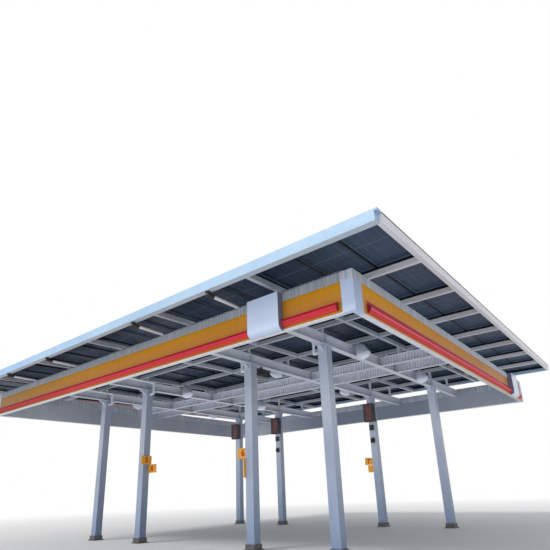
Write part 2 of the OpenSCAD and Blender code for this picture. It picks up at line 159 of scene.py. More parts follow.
class Finish(Wiring):
    """A material and the short words for its colours, gloss and relief."""

    def __init__(self, name):
        self.material = bpy.data.materials.new(name)
        self.material.use_nodes = True
        super().__init__(self.material.node_tree)
        self.surface = self.tree.nodes["Principled BSDF"]
        self.place = self.node("ShaderNodeTexCoord").outputs["Object"]
        self.x, self.y, self.z = self.node("ShaderNodeSeparateXYZ", {0: self.place}).outputs

    def above(self, value, limit):
        return self.sum("GREATER_THAN", value, limit)

    def beyond(self, value, limit):
        """1 further than a limit from the middle, on either side."""
        return self.above(self.sum("ABSOLUTE", value), limit)

    def distance(self, value, place):
        return self.sum("ABSOLUTE", self.sum("SUBTRACT", value, place))

    def near(self, value, place, reach):
        """1 within a reach of a place."""
        return self.sum("LESS_THAN", self.distance(value, place), reach)

    def near_lines(self, value, pitch, width, start=0.0):
        """1 within half of width from each line of a set that lies pitch apart."""
        moved = self.sum("SUBTRACT", value, start)
        return self.sum("LESS_THAN", self.sum("PINGPONG", moved, pitch / 2), width / 2)

    def noise(self, scale, detail, stretch=(1, 1, 1)):
        place = self.node("ShaderNodeMapping", {0: self.place, 3: stretch}).outputs[0]
        inputs = {"Vector": place, "Scale": scale, "Detail": detail, "Roughness": 0.55}
        return self.node("ShaderNodeTexNoise", inputs).outputs["Fac"]

    def blend(self, amount, below, above, how="MIX"):
        inputs = {0: amount, 6: below, 7: above}
        return self.node("ShaderNodeMix", inputs, data_type="RGBA", blend_type=how).outputs[2]

    def shade(self, colour, card, value, low, high, most=1.0):
        """A colour that turns into that of a card, at most by a share, as a value goes from low to high."""
        return self.blend(self.range(value, low, high, 0.0, most), colour, srgb(*card))

    def mottle(self, card, other, value, low, high, most=1.0):
        """The colours of two cards, mixed by where a value lies between low and high."""
        return self.shade(srgb(*card), other, value, low, high, most)

    def paint(self, colour):
        self.tree.links.new(colour, self.surface.inputs["Base Color"])

    def gloss(self, noise, low, high):
        """Roughness from low to high over the middle of a noise."""
        self.tree.links.new(self.range(noise, 0.3, 0.7, low, high), self.surface.inputs["Roughness"])

    def bump(self, height, depth, strength):
        made = self.node("ShaderNodeBump", {"Strength": strength, "Distance": depth, "Height": height})
        self.tree.links.new(made.outputs[0], self.surface.inputs["Normal"])

    def set(self, **values):
        """Plain values on the shader's own sockets."""
        for name, value in values.items():
            self.surface.inputs[name.replace("_", " ").title().replace("Ior", "IOR")].default_value = value


def weather(finish, card, dirt=0.12, streaks=0.1, roughness=(0.34, 0.52)):
    """Paint with uneven tone, rain streaks, a little grime and an orange-peel surface."""
    fine = finish.noise(14.0, 5.0)
    uneven = finish.range(finish.noise(0.8, 4.0), 0.35, 0.75, 0.0, 0.35)
    colour = finish.blend(uneven, srgb(*card), (0.0, 0.0, 0.0, 1.0), "SOFT_LIGHT")
    colour = finish.shade(colour, GRIME, finish.noise(5.0, 4.0, (1, 1, 0.12)), 0.5, 0.8, streaks)
    colour = finish.shade(colour, GRIME, fine, 0.52, 0.82, dirt)
    finish.gloss(fine, *roughness)
    finish.bump(finish.noise(160.0, 2.0), 0.0006, 0.35)
    return colour


def over_underside(finish):
    """Height of a place over the underside of the tilted roof."""
    run = finish.sum("SUBTRACT", finish.y, ROOF_Y)
    return finish.sum("SUBTRACT", finish.z, finish.sum("MULTIPLY_ADD", run, tan(ROOF_TILT), ROOF_Z))


# Finishes

def painted_steel(name, card, **wear):
    finish = Finish(name)
    finish.paint(weather(finish, card, **wear))
    return finish.material


def column_finish():
    """White shafts, darker and bluer towards the ground as painted shade, with scuffs near the ground,
    painted shade on their right faces, strongest on the left columns, and a dark collar.
    """
    finish = Finish("column_white")
    white = weather(finish, (204, 212, 228), dirt=0.1, streaks=0.08)
    # Painted shade: the shafts darken and turn bluer towards the ground.
    painted_shade_low = finish.range(finish.z, 3.8, 0.2)
    white = finish.blend(painted_shade_low, white, (0.33, 0.41, 0.53, 1.0), "MULTIPLY")
    # Painted shade: the right faces darken, most on the left columns.
    right = 0.0
    for x in COLUMN_X:
        right = finish.sum("MAXIMUM", right, finish.near(finish.x, x + COLUMN_W / 2, 0.002))
    painted_side_shade = finish.sum("MULTIPLY", right, finish.range(finish.x, 4.6, 0.0))
    white = finish.blend(painted_side_shade, white, (0.7, 0.71, 0.73, 1.0), "MULTIPLY")
    scuffs = finish.sum("MULTIPLY", finish.range(finish.noise(9.0, 6.0), 0.48, 0.62),
                        finish.range(finish.z, 0.2, 1.1, 0.35, 0.0))
    white = finish.blend(scuffs, white, srgb(120, 114, 106))
    collar = finish.mottle((66, 66, 70), (104, 100, 96), finish.noise(20.0, 5.0), 0.4, 0.7)
    finish.paint(finish.blend(finish.above(finish.z, FOOT_TOP + 0.001), collar, white))
    return finish.material


def beam_finish(name, card, painted_shade_card):
    """White beam with painted shade on its underside."""
    finish = Finish(name)
    white = weather(finish, card, dirt=0.08, streaks=0.04)
    # Painted shade: the underside takes a darker card of the same white paint.
    under = weather(finish, painted_shade_card, dirt=0.08, streaks=0.04)
    finish.paint(finish.blend(finish.above(finish.z, BEAM_Z + 0.002), under, white))
    return finish.material


def solar_finish():
    """Black frames round dark laminate with rows of half cells, a painted highlight along the inside of each
    frame, and painted light that makes the underside paler near the right edge.
    """
    finish = Finish("solar_laminate")
    cell_w, cell_len, margin, edge_strip = 0.1615, 0.0835, 0.037, 0.009
    slope_y = finish.sum("DIVIDE", finish.sum("SUBTRACT", finish.y, ROOF_Y), cos(ROOF_TILT))
    seam_x = finish.sum("PINGPONG", finish.x, MODULE_PITCH / 2)
    seam_y = finish.sum("PINGPONG", finish.sum("SUBTRACT", slope_y, ROOF_GAP), ROW_PITCH / 2)
    edge_x = finish.sum("SUBTRACT", seam_x, (MODULE_PITCH - MODULE_W) / 2)
    edge_y = finish.sum("SUBTRACT", seam_y, (ROW_PITCH - MODULE_LEN) / 2)
    inside = finish.sum("MULTIPLY", finish.above(edge_x, FRAME_W), finish.above(edge_y, FRAME_W))
    between_cells = finish.sum("MAXIMUM", finish.near_lines(edge_x, cell_w, 0.006, margin),
                               finish.near_lines(edge_y, cell_len, 0.005, margin))
    # Painted highlight: a pale strip along the inside of each frame, in the same colour as the gaps between
    # cells.
    border = finish.sum("LESS_THAN", finish.sum("MINIMUM", edge_x, edge_y), FRAME_W + edge_strip)
    middle = finish.above(edge_y, MODULE_LEN / 2 - 0.006)
    gaps_and_frame_highlight = finish.sum("MAXIMUM", between_cells, finish.sum("MAXIMUM", border, middle))
    wires = finish.near_lines(edge_x, cell_w / 10, 0.0022, margin)
    cell = finish.mottle((20, 36, 58), (34, 52, 78), finish.noise(0.9, 3.0), 0.35, 0.7)
    cell = finish.blend(finish.sum("MULTIPLY", wires, 0.2), cell, srgb(96, 108, 122))
    laminate = finish.blend(finish.sum("MULTIPLY", gaps_and_frame_highlight, 0.8), cell, srgb(98, 116, 136))
    under = finish.sum("LESS_THAN", over_underside(finish), ROOF_H - 0.004)
    # Painted light: the underside of the laminate is paler near the right edge.
    painted_light_right = finish.sum("MULTIPLY", under, finish.range(finish.x, 7.2, 8.8))
    laminate = finish.blend(painted_light_right, laminate, srgb(56, 68, 82), "ADD")
    finish.paint(finish.blend(inside, srgb(20, 21, 24), laminate))
    finish.gloss(finish.noise(6.0, 4.0), 0.36, 0.5)
    finish.set(specular_ior_level=0.2)
    return finish.material


def grid_finish():
    """White purlins and rafters, with painted light that makes them lighter and a little cleaner where they
    reach out over the right side.
    """
    finish = Finish("grid_white")
    sheltered = weather(finish, (194, 199, 209), dirt=0.1, streaks=0.04)
    # Painted light: a lighter white, with a little less dirt, over the right side.
    painted_light_end = weather(finish, (226, 226, 230), dirt=0.05, streaks=0.04)
    finish.paint(finish.blend(finish.range(finish.x, 6.8, 8.4), sheltered, painted_light_end))
    return finish.material


def channel_finish():
    """White sheet painted pale blue as a painted reflection of the sky, deeper blue towards the left, with a
    plainer white underside.
    """
    finish = Finish("edge_white")
    # Painted reflection: pale blue sky on the white sheet, deeper towards the left.
    sheet = weather(finish, (176, 205, 230), dirt=0.03, streaks=0.08)
    sheet = finish.shade(sheet, (130, 180, 230), finish.x, -0.5, -8.5, 0.8)
    under = weather(finish, (199, 212, 222), dirt=0.08, streaks=0.04)
    finish.paint(finish.blend(finish.above(over_underside(finish), 0.002), under, sheet))
    return finish.material


def rail_finish():
    """Black brushed rail."""
    finish = Finish("black_rail")
    brushed = finish.noise(60.0, 3.0, (0.02, 1, 1))
    finish.paint(finish.mottle((22, 23, 26), (42, 43, 47), brushed, 0.3, 0.7))
    finish.gloss(brushed, 0.35, 0.55)
    finish.bump(brushed, 0.0003, 0.4)
    finish.set(metallic=0.5)
    return finish.material


def amber_sheet(finish, card, front, run):
    """Amber paint with runs and dirt, and painted shade: bluer low down and deeper yellow high up, darker
    just above the light bar, and browner on the left of the front and towards the rear of the sides.
    """
    # Painted shade: bluer low down and deeper yellow high up.
    shading_low, shading_high = 5.18, 5.46
    amber = finish.mottle(tinted(card, 0.97, 0.95, 1.35), tinted(card, 1.02, 1.05, 0.5),
                          finish.z, shading_low, shading_high)
    amber = finish.shade(amber, tinted(card, 0.93, 0.93, 0.9), finish.noise(0.7, 3.0), 0.35, 0.7, 0.5)
    amber = finish.shade(amber, (130, 92, 30), run, 0.5, 0.85, 0.12)
    amber = finish.shade(amber, (120, 88, 44), finish.z, PANEL_TOP - 0.09, PANEL_TOP, 0.2)
    # Painted shadow of the light bar on the amber just above it.
    amber = finish.shade(amber, (150, 104, 24), finish.z, BAR_TOP + 0.12, BAR_TOP, 0.3)
    # Painted shade: the front amber browns towards the left, the side amber towards the rear.
    if front:
        return finish.shade(amber, (138, 108, 58), finish.x, -1.5, -8.0, 0.6)
    amber = finish.shade(amber, (212, 146, 74), finish.y, -7.0, 1.0)
    beside_bar = finish.sum("LESS_THAN", finish.sum("ABSOLUTE", finish.y), BAR_SIDE_END)
    red_strip = finish.sum("MULTIPLY", finish.near(finish.z, BAR_TOP, 0.09), beside_bar)
    return finish.blend(red_strip, amber, srgb(192, 62, 84))


def panel_finish(name, card, front):
    """Amber sheet over a white lip on the outer face, and bluish grey sheet inside, with painted shade on
    parts of the inner faces and on the side lips towards the rear.
    """
    finish = Finish(name)
    run = finish.noise(7.0, 4.0, (1, 1, 0.08))
    amber = amber_sheet(finish, card, front, run)
    lip = finish.mottle((232, 234, 240), (140, 134, 126), finish.noise(6.0, 5.0), 0.45, 0.8, 0.25)
    grey = finish.mottle((206, 209, 216), (192, 196, 204), finish.noise(1.2, 4.0, (1, 1, 0.4)), 0.35, 0.75)
    if front:
        across, along, face = finish.y, finish.x, RING_Y
        # Painted shade: the rear inner face is darkened over a span of its length.
        middle = finish.sum("SUBTRACT", finish.range(finish.x, -6.6, -2.6, 0.0, 0.9),
                            finish.range(finish.x, 3.0, 6.8, 0.0, 0.42))
        dull = finish.sum("MULTIPLY", finish.above(finish.y, RING_Y - 0.2), middle)
    else:
        across, along, face = finish.x, finish.y, RING_X
        # Painted shade: the inner faces of the sides, and their lips, darken towards the rear.
        dull = finish.range(finish.y, -5.5, -2.5, 0.0, 0.45)
        lip = finish.shade(lip, (176, 162, 146), finish.y, -5.0, 5.0, 0.8)
    grey = finish.blend(dull, grey, srgb(130, 141, 160))
    sheet = finish.blend(finish.beyond(across, face - 0.05), grey, amber)
    joint = finish.near_lines(along, PANEL_PITCH, 0.004, 0.3)
    sheet = finish.blend(finish.sum("MULTIPLY", joint, 0.45), sheet, srgb(96, 72, 36))
    finish.paint(finish.blend(finish.above(finish.z, LIP_TOP - 0.001), lip, sheet))
    finish.gloss(run, 0.3, 0.46)
    finish.bump(finish.sum("ADD", finish.noise(1.6, 2.0), finish.sum("MULTIPLY", joint, -0.4)), 0.003, 0.25)
    finish.set(specular_ior_level=0.15)
    return finish.material


def flashing_finish():
    """Galvanised grey sheet with pale runs of rain, with painted shade on the front and rear and painted
    light on the sides.
    """
    finish = Finish("grey_flashing")
    run = finish.noise(11.0, 4.0, (1, 1, 0.1))
    spangle = finish.noise(40.0, 2.0)
    colour = finish.mottle((176, 184, 198), (206, 212, 222), run, 0.36, 0.66)
    colour = finish.shade(colour, (140, 146, 158), spangle, 0.4, 0.7, 0.12)
    # Painted shade on the front and rear, painted light on the sides.
    front = finish.beyond(finish.y, RING_Y - 0.02)
    colour = finish.blend(front, colour, (0.76, 0.76, 0.74, 1.0), "MULTIPLY")
    side = finish.beyond(finish.x, RING_X - 0.02)
    finish.paint(finish.blend(side, colour, (1.2, 1.17, 1.14, 1.0), "MULTIPLY"))
    finish.gloss(spangle, 0.38, 0.55)
    finish.bump(spangle, 0.0005, 0.4)
    finish.set(metallic=0.15)
    return finish.material


def corner_finish():
    """White corner sheet that turns grey where it meets the flashing."""
    finish = Finish("white_corner")
    white = weather(finish, (200, 216, 242), dirt=0.04, streaks=0.1)
    run = finish.noise(11.0, 4.0, (1, 1, 0.1))
    grey = finish.mottle((184, 192, 206), (212, 219, 230), run, 0.36, 0.66)
    finish.paint(finish.blend(finish.range(finish.z, PANEL_TOP - 0.1, PANEL_TOP + 0.08), white, grey))
    return finish.material


def bar_finish():
    """Satin red diffuser with painted shade on top and on the left, painted light that warms it low down and
    makes it pinker on the sides, and a painted highlight in a pale band along it.
    """
    finish = Finish("red_diffuser")
    red = finish.mottle((206, 22, 62), (188, 20, 52), finish.noise(1.3, 3.0), 0.3, 0.7)
    # Painted shade on the upper half.
    red = finish.shade(red, (166, 24, 50), finish.z, BAR_MID_Z, BAR_TOP, 0.5)
    # Painted light: warmer and paler low down.
    red = finish.shade(red, (232, 84, 66), finish.z, BAR_MID_Z - 0.03, BAR_MID_Z - 0.075, 0.8)
    # Painted shade towards the left.
    red = finish.shade(red, (150, 36, 36), finish.x, -1.5, -8.0, 0.55)
    # Painted light: the bars on the sides are pinker.
    on_side = finish.beyond(finish.x, RING_X - 0.1)
    red = finish.blend(finish.sum("MULTIPLY", on_side, 0.3), red, srgb(230, 84, 100))
    # Painted highlight: a pale band along the middle of the bar, stronger on the sides.
    band = finish.range(finish.distance(finish.z, BAR_MID_Z - 0.012), 0.008, 0.036, 0.75, 0.0)
    band = finish.sum("MULTIPLY", band, finish.sum("MULTIPLY_ADD", on_side, 0.75, 0.25))
    finish.paint(finish.blend(band, red, srgb(255, 128, 136)))
    finish.gloss(finish.noise(25.0, 3.0), 0.5, 0.62)
    finish.set(specular_ior_level=0.12)
    return finish.material


def sign_finish():
    """White sign face with painted shade that greys the returns on both sides of each box."""
    finish = Finish("white_sign")
    tone = finish.noise(2.0, 4.0, (1, 1, 0.3))
    white = finish.mottle((208, 223, 248), (194, 209, 236), tone, 0.4, 0.75, 0.5)
    # Painted shade: the returns of each box are grey.
    grey = finish.mottle((122, 130, 160), (102, 110, 138), tone, 0.4, 0.75)
    returns = 0.0
    for along, centre, across in ((finish.x, SIGN_X, finish.y), (finish.y, SIGN_Y, finish.x)):
        off_centre = finish.distance(along, centre)
        on_box = finish.sum("LESS_THAN", off_centre, SIGN_W / 2 + 0.01)
        side = finish.sum("MULTIPLY", finish.above(off_centre, SIGN_W / 2 - 0.001), on_box)
        side = finish.sum("MULTIPLY", side, finish.beyond(across, RING_Y - 0.01))
        returns = finish.sum("MAXIMUM", returns, side)
    finish.paint(finish.blend(returns, white, grey))
    finish.gloss(tone, 0.18, 0.3)
    finish.bump(finish.noise(4.0, 2.0), 0.001, 0.3)
    finish.set(coat_weight=0.15, coat_roughness=0.2)
    return finish.material


def pipe_finish():
    """White plastic pipe that starts with a dark elbow under the channel."""
    finish = Finish("white_pipe")
    tone = finish.noise(6.0, 5.0)
    white = finish.mottle((246, 247, 250), (222, 222, 224), tone, 0.45, 0.75, 0.4)
    dark = finish.mottle((44, 40, 40), (70, 64, 60), tone, 0.4, 0.7)
    elbow = finish.sum("LESS_THAN", finish.y, ROOF_Y + 0.27)
    finish.paint(finish.blend(elbow, white, dark))
    finish.gloss(tone, 0.3, 0.5)
    finish.bump(finish.noise(90.0, 2.0), 0.0004, 0.3)
    return finish.material


def lens_finish():
    """Frosted lens with fine ridges, faintly lit."""
    finish = Finish("frosted_lens")
    ridges = finish.near_lines(finish.x, 0.02, 0.008)
    finish.paint(finish.blend(finish.sum("MULTIPLY", ridges, 0.2), srgb(206, 211, 222), srgb(176, 182, 196)))
    finish.gloss(finish.noise(30.0, 2.0), 0.25, 0.4)
    finish.bump(ridges, 0.0008, 0.5)
    finish.set(emission_color=srgb(236, 242, 255), emission_strength=0.2)
    return finish.material


def glass_finish():
    """Dark ribbed glass of the floodlight."""
    finish = Finish("ribbed_glass")
    ribs = finish.near_lines(finish.z, 0.012, 0.004)
    finish.paint(finish.blend(finish.sum("MULTIPLY", ribs, 0.5), srgb(96, 102, 110), srgb(150, 156, 164)))
    finish.gloss(finish.noise(30.0, 2.0), 0.1, 0.2)
    finish.bump(ribs, 0.0006, 0.5)
    return finish.material


def plain_finish(name, card, faded):
    """Moulded or painted surface with faded patches."""
    finish = Finish(name)
    tone = finish.noise(12.0, 5.0, (1, 1, 0.4))
    finish.paint(finish.mottle(card, faded, tone, 0.42, 0.72))
    finish.gloss(tone, 0.4, 0.65)
    finish.bump(finish.noise(120.0, 2.0), 0.0006, 0.5)
    return finish.material


def faded_front_finish():
    """Weathered front of a cabinet: dark edges and a faded red band down its middle."""
    finish = Finish("faded_front")
    off_column = 1.0
    for x in COLUMN_X[:3]:
        off_column = finish.sum("MINIMUM", off_column, finish.distance(finish.x, x))
    band = finish.range(off_column, 0.09, 0.12, 1.0, 0.0)
    run = finish.noise(16.0, 6.0, (1, 1, 0.15))
    red = finish.mottle((116, 44, 54), (140, 92, 92), run, 0.35, 0.7)
    dark = finish.mottle((62, 62, 66), (98, 94, 92), run, 0.35, 0.7)
    finish.paint(finish.blend(band, dark, red))
    finish.gloss(run, 0.4, 0.7)
    finish.bump(run, 0.001, 0.3)
    return finish.material


def plate_finish():
    """Yellow number plate, sun-bleached in patches."""
    finish = Finish("yellow_plate")
    tone = finish.noise(7.0, 4.0)
    finish.paint(finish.mottle((254, 178, 12), (244, 166, 26), tone, 0.35, 0.75))
    finish.gloss(tone, 0.35, 0.5)
    finish.bump(finish.noise(80.0, 2.0), 0.0004, 0.3)
    return finish.material


def zinc_finish():
    """Zinc plate, dull in patches."""
    finish = Finish("zinc_bolt")
    tone = finish.noise(50.0, 4.0)
    finish.paint(finish.mottle((176, 178, 182), (130, 118, 104), tone, 0.4, 0.7))
    finish.gloss(tone, 0.3, 0.55)
    finish.bump(tone, 0.0003, 0.3)
    finish.set(metallic=0.7)
    return finish.material


FINISH = {
    "column": column_finish(),
    # The second card of the beam and of the girder is the painted shade of its underside.
    "beam": beam_finish("beam_white", (218, 221, 231), (206, 208, 218)),
    "girder": beam_finish("girder_white", (234, 236, 246), (196, 198, 206)),
    "grid": grid_finish(),
    "edge_front": channel_finish(),
    "edge_side": painted_steel("edge_side_white", (232, 232, 238), dirt=0.05, streaks=0.06),
    "rail": rail_finish(),
    "solar": solar_finish(),
    # The front and rear amber is a darker copy of the side amber: painted shade.
    "panel_front": panel_finish("amber_front", (210, 141, 44), True),
    "panel_side": panel_finish("amber_side", (248, 172, 62), False),
    "flashing": flashing_finish(),
    "corner": corner_finish(),
    "bar": bar_finish(),
    "cap": plain_finish("red_cap", (150, 16, 40), (130, 26, 40)),
    "sign": sign_finish(),
    "pipe": pipe_finish(),
    "lamp": painted_steel("lamp_white", (226, 232, 244), dirt=0.1, roughness=(0.25, 0.4)),
    "lens": lens_finish(),
    "glass": glass_finish(),
    "dark": plain_finish("dark_housing", (50, 50, 54), (88, 86, 84)),
    "front": faded_front_finish(),
    "plate": plate_finish(),
    "digit": plain_finish("red_digit", (196, 40, 6), (176, 44, 12)),
    "border": painted_steel("plate_border", (224, 190, 130), dirt=0.2),
    "zinc": zinc_finish(),
    "black": plain_finish("black_plastic", (24, 24, 27), (40, 40, 43)),
}

# The first entry that a node's name starts with is its finish
NODE_FINISH = {
    "column_front": "column", "column_rear": "column", "main_beam": "beam", "girder_posts": "beam",
    "girder": "girder", "beam_posts": "beam", "purlins": "grid", "rafters": "grid",
    "edge_channel": "edge_front", "edge_beam": "edge_side", "mounting_rails": "rail", "solar_row": "solar",
    "fascia_front": "panel_front", "fascia_rear": "panel_front", "fascia_left": "panel_side",
    "fascia_right": "panel_side", "flashing": "flashing", "corner_posts": "corner", "light_bars": "bar",
    "sign": "sign", "rain_pipes": "pipe", "lamps": "lamp", "floodlight": "dark", "column_boxes": "dark",
    "number_flags": "plate",
}


def dress_nodes():
    """Each CAD node gets its finish on every slot."""
    for name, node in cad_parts.items():
        finish = next(FINISH[key] for start, key in NODE_FINISH.items() if name.startswith(start))
        if not node.material_slots:
            node.data.materials.append(finish)
        for slot in node.material_slots:
            slot.material = finish


# Shapes

def in_scene(name, data):
    made = bpy.data.objects.new(name, data)
    bpy.context.scene.collection.objects.link(made)
    return made


def as_mesh(name, bm):
    mesh = bpy.data.meshes.new(name)
    bm.to_mesh(mesh)
    bm.free()
    return mesh


def piece(name, shape, finish):
    """A mesh in its final place becomes a piece that rides on the canopy."""
    mesh = as_mesh(name, shape) if isinstance(shape, bmesh.types.BMesh) else shape
    mesh.name = name
    mesh.materials.clear()
    mesh.materials.append(FINISH[finish])
    mesh.polygons.foreach_set("use_smooth", [True] * len(mesh.polygons))
    mesh.set_sharp_from_angle(angle=SMOOTH_BELOW)
    made = in_scene(name, mesh)
    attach(made, "root")


def bevelled_box(bm, low, high, edge):
    """Box from one corner to the other with its edges taken off."""
    low, high = Vector(low), Vector(high)
    made = bmesh.ops.create_cube(bm, size=1.0, matrix=Matrix.Translation((low + high) / 2)
                                 @ Matrix.Diagonal(high - low).to_4x4())
    edges = list({e for v in made["verts"] for e in v.link_edges})
    bmesh.ops.bevel(bm, geom=edges, offset=edge, segments=1, affect="EDGES", clamp_overlap=True)


def placed_box(bm, low, high, edge, place):
    """Bevelled box that is made level and then put in its place."""
    box = bmesh.new()
    bevelled_box(box, low, high, edge)
    mesh = as_mesh("box", box)
    mesh.transform(place)
    bm.from_mesh(mesh)


def turned(bm, centre, axis, profile, segments):
    """Solid of revolution about axis through centre, from (radius, distance) pairs."""
    turn = Vector((0, 0, 1)).rotation_difference(Vector(axis)).to_matrix().to_4x4()
    place = Matrix.Translation(centre) @ turn
    around = [2 * pi * i / segments for i in range(segments)]
    rings = []
    for r, h in profile:
        spots = [(r * cos(a), r * sin(a), h) for a in around] if r else [(0, 0, h)]
        rings.append([bm.verts.new(place @ Vector(spot)) for spot in spots])
    faces = []
    for below, above in zip(rings, rings[1:]):
        for i in range(segments):
            j = (i + 1) % segments
            ends = ((below, i), (below, j), (above, j), (above, i))
            corners = list(dict.fromkeys(ring[k % len(ring)] for ring, k in ends))
            if len(corners) > 2:
                faces.append(bm.faces.new(corners))
    if profile[0] == profile[-1]:
        bmesh.ops.remove_doubles(bm, verts=rings[0] + rings[-1], dist=1e-6)
    bmesh.ops.recalc_face_normals(bm, faces=[f for f in faces if f.is_valid])


def prism(bm, outline, place, length, edge=0.0):
    """Flat outline in (y, z) pushed along +X by length, then put in place."""
    near = [bm.verts.new(place @ Vector((0, y, z))) for y, z in outline]
    far = [bm.verts.new(place @ Vector((length, y, z))) for y, z in outline]
    faces = [bm.faces.new(near), bm.faces.new(far[::-1])]
    for i in range(len(outline)):
        j = (i + 1) % len(outline)
        faces.append(bm.faces.new([near[j], near[i], far[i], far[j]]))
    bmesh.ops.recalc_face_normals(bm, faces=faces)
    if edge:
        rims = list({e for f in faces[:2] for e in f.edges})
        bmesh.ops.bevel(bm, geom=rims, offset=edge, segments=1, affect="EDGES", clamp_overlap=True)


def ring_turn(angle, further=0):
    """Turns what is made for the front of the ring to the side at an angle, that much further out."""
    return Matrix.Rotation(radians(angle), 4, "Z") @ Matrix.Translation((0, -further, 0))


# Geometry Nodes

class Bench(Wiring):
    """A Geometry Nodes tree under way, with named inputs."""

    def __init__(self, name, **inputs):
        super().__init__(bpy.data.node_groups.new(name, "GeometryNodeTree"))
        sockets = self.tree.interface
        sockets.new_socket("Geometry", in_out="INPUT", socket_type="NodeSocketGeometry")
        sockets.new_socket("Geometry", in_out="OUTPUT", socket_type="NodeSocketGeometry")
        for label, kind in inputs.items():
            sockets.new_socket(label.replace("_", " "), in_out="INPUT", socket_type="NodeSocket" + kind)
        self.inputs = self.tree.nodes.new("NodeGroupInput").outputs

    def part(self):
        """The part that the tree copies."""
        return self.node("GeometryNodeObjectInfo", {"Object": self.inputs["Part"]}).outputs["Geometry"]

    def to_facing(self):
        """Rotation that turns +Z to the facing of each spot."""
        facing = self.node("GeometryNodeInputNamedAttribute", {"Name": "facing"}, data_type="FLOAT_VECTOR")
        turn = self.node("FunctionNodeAlignRotationToVector", {"Vector": facing.outputs[0]}, axis="Z")
        return turn.outputs[0]

    def finish(self, points, part, **how):
        """Real copies of a part on points, with their material, sent to the tree's output."""
        copies = self.node("GeometryNodeInstanceOnPoints", {"Points": points, "Instance": part, **how})
        real = self.node("GeometryNodeRealizeInstances", {0: copies.outputs[0]}).outputs[0]
        coated = self.node("GeometryNodeSetMaterial", {"Geometry": real, "Material": self.inputs["Material"]})
        self.tree.links.new(coated.outputs[0], self.tree.nodes.new("NodeGroupOutput").inputs[0])
        return self.tree


def copies_tree():
    """Copies of a part on spots, its +Z turned to each spot's facing."""
    bench = Bench("copies_on_spots", Part="Object", Material="Material")
    return bench.finish(bench.inputs["Geometry"], bench.part(), Rotation=bench.to_facing())


def bolts_tree():
    """Hexagon heads on round washers, each turned by chance about its own axis."""
    bench = Bench("hexagon_bolts", Head_radius="Float", Head_height="Float", Washer_radius="Float",
                  Washer_height="Float", Seed="Int", Material="Material")
    inputs = bench.inputs

    def drum(sides, radius, height, lift):
        size = {"Vertices": sides, "Radius": radius, "Depth": height}
        made = bench.node("GeometryNodeMeshCylinder", size).outputs[0]
        up = bench.node("ShaderNodeCombineXYZ", {2: lift}).outputs[0]
        return bench.node("GeometryNodeTransform", {"Geometry": made, "Translation": up}).outputs[0]

    washer_h, head_h = inputs["Washer height"], inputs["Head height"]
    washer = drum(12, inputs["Washer radius"], washer_h, bench.sum("MULTIPLY", washer_h, 0.5))
    head = drum(6, inputs["Head radius"], head_h, bench.sum("MULTIPLY_ADD", head_h, 0.5, washer_h))
    bolt = bench.node("GeometryNodeJoinGeometry")
    bench.tree.links.new(washer, bolt.inputs[0])
    bench.tree.links.new(head, bolt.inputs[0])
    chance = bench.node("FunctionNodeRandomValue", {"Seed": inputs["Seed"]}, data_type="FLOAT")
    most = next(s for s in chance.inputs if s.name == "Max" and s.type == "VALUE")
    most.default_value = 2 * pi
    angle = next(s for s in chance.outputs if s.enabled and s.type == "VALUE")
    about = bench.node("FunctionNodeAxisAngleToRotation", {"Angle": angle}).outputs[0]
    turn = bench.node("FunctionNodeRotateRotation", {"Rotation": bench.to_facing(), "Rotate By": about},
                      rotation_space="LOCAL").outputs[0]
    return bench.finish(inputs["Geometry"], bolt.outputs[0], Rotation=turn)


def grid_tree():
    """Copies of a part on a grid of columns and rows, centred in both."""
    bench = Bench("copies_on_grid", Part="Object", Columns="Int", Rows="Int", Step_across="Float",
                  Step_along="Float", Material="Material")
    inputs = bench.inputs

    def span(count, step):
        return bench.sum("MULTIPLY", bench.sum("SUBTRACT", inputs[count], 1.0), inputs[step])

    size = {"Size X": span("Columns", "Step across"), "Size Y": span("Rows", "Step along"),
            "Vertices X": inputs["Columns"], "Vertices Y": inputs["Rows"]}
    return bench.finish(bench.node("GeometryNodeMeshGrid", size).outputs[0], bench.part())


def run_tree(tree, base_mesh, place=Matrix.Identity(4), **values):
    """The plain mesh that a tree makes from a base mesh, put in its place."""
    carrier = in_scene("carrier", base_mesh)
    modifier = carrier.modifiers.new("Nodes", "NODES")
    modifier.node_group = tree
    sockets = {s.name: s.identifier for s in tree.interface.items_tree if s.in_out == "INPUT"}
    for label, value in values.items():
        modifier[sockets[label.replace("_", " ")]] = value
    ready = carrier.evaluated_get(bpy.context.evaluated_depsgraph_get())
    mesh = bpy.data.meshes.new_from_object(ready)
    bpy.data.objects.remove(carrier)
    mesh.transform(place)
    return mesh


def part_object(name, bm):
    """Loose part for a tree to copy; it isn't in the scene itself."""
    return bpy.data.objects.new(name, as_mesh(name, bm))


def spots_mesh(spots):
    """Points with the way that each faces."""
    mesh = bpy.data.meshes.new("spots")
    mesh.from_pydata([tuple(p) for p, facing in spots], [], [])
    facing = mesh.attributes.new("facing", "FLOAT_VECTOR", "POINT")
    facing.data.foreach_set("vector", [c for p, way in spots for c in way])
    return mesh


COPIES = copies_tree()
BOLTS = bolts_tree()
GRID = grid_tree()


# Pieces

def bolts(name, spots, head, seed, finish="zinc"):
    """Bolts on spots with their facings, all sizes in proportion to the radius of the head."""
    mesh = run_tree(BOLTS, spots_mesh(spots), Head_radius=head, Head_height=head * 1.1,
                    Washer_radius=head * 1.5, Washer_height=head * 0.22, Seed=seed, Material=FINISH[finish])
    piece(name, mesh, finish)


